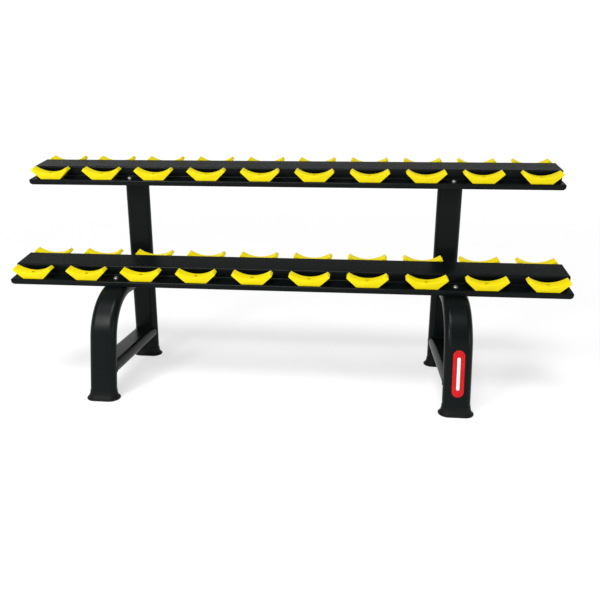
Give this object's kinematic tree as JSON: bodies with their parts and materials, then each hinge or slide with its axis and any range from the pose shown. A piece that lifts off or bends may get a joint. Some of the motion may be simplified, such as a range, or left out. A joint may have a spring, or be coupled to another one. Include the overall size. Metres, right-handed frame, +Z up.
{
  "type": "dumbbell rack",
  "caption": "Two-tier dumbbell rack: tilted folded-sheet shelves on bent oval-tube side frames with flared feet, each shelf carrying two rows of curved saddles.",
  "frame": {"origin": "on the floor under the middle of the rack's bounding box", "axes": "+X along the shelves to the right as seen from the front, +Y towards the back, +Z up"},
  "size_m": [2.355, 0.7204, 0.9706],
  "materials": {
    "powder_coat": "black satin powder coat with a fine texture",
    "saddle_plastic": "bright yellow moulded plastic, lightly grained",
    "foot_rubber": "black moulded rubber",
    "zinc_steel": "zinc-plated steel",
    "badge_plastic": "plain red glossy pill"
  },
  "bodies": {
    "root": {"lower_shelf": "powder_coat", "lower_front_saddle_01": "saddle_plastic", "lower_front_saddle_02": "saddle_plastic", "lower_front_saddle_03": "saddle_plastic", "lower_front_saddle_04": "saddle_plastic", "lower_front_saddle_05": "saddle_plastic", "lower_front_saddle_06": "saddle_plastic", "lower_front_saddle_07": "saddle_plastic", "lower_front_saddle_08": "saddle_plastic", "lower_front_saddle_09": "saddle_plastic", "lower_front_saddle_10": "saddle_plastic", "lower_rear_saddle_01": "saddle_plastic", "lower_rear_saddle_02": "saddle_plastic", "lower_rear_saddle_03": "saddle_plastic", "lower_rear_saddle_04": "saddle_plastic", "lower_rear_saddle_05": "saddle_plastic", "lower_rear_saddle_06": "saddle_plastic", "lower_rear_saddle_07": "saddle_plastic", "lower_rear_saddle_08": "saddle_plastic", "lower_rear_saddle_09": "saddle_plastic", "lower_rear_saddle_10": "saddle_plastic", "upper_shelf": "powder_coat", "upper_front_saddle_01": "saddle_plastic", "upper_front_saddle_02": "saddle_plastic", "upper_front_saddle_03": "saddle_plastic", "upper_front_saddle_04": "saddle_plastic", "upper_front_saddle_05": "saddle_plastic", "upper_front_saddle_06": "saddle_plastic", "upper_front_saddle_07": "saddle_plastic", "upper_front_saddle_08": "saddle_plastic", "upper_front_saddle_09": "saddle_plastic", "upper_front_saddle_10": "saddle_plastic", "upper_rear_saddle_01": "saddle_plastic", "upper_rear_saddle_02": "saddle_plastic", "upper_rear_saddle_03": "saddle_plastic", "upper_rear_saddle_04": "saddle_plastic", "upper_rear_saddle_05": "saddle_plastic", "upper_rear_saddle_06": "saddle_plastic", "upper_rear_saddle_07": "saddle_plastic", "upper_rear_saddle_08": "saddle_plastic", "upper_rear_saddle_09": "saddle_plastic", "upper_rear_saddle_10": "saddle_plastic", "left_rear_post": "powder_coat", "left_front_leg": "powder_coat", "left_brace": "powder_coat", "left_rear_foot": "foot_rubber", "left_front_foot": "foot_rubber", "left_lower_bracket": "powder_coat", "left_upper_bracket": "powder_coat", "right_rear_post": "powder_coat", "right_front_leg": "powder_coat", "right_brace": "powder_coat", "right_rear_foot": "foot_rubber", "right_front_foot": "foot_rubber", "right_lower_bracket": "powder_coat", "right_upper_bracket": "powder_coat", "badge": "badge_plastic", "saddle_screws": "zinc_steel", "shelf_bolts": "zinc_steel", "lock_nuts": "zinc_steel"}
  },
  "joints": []
}
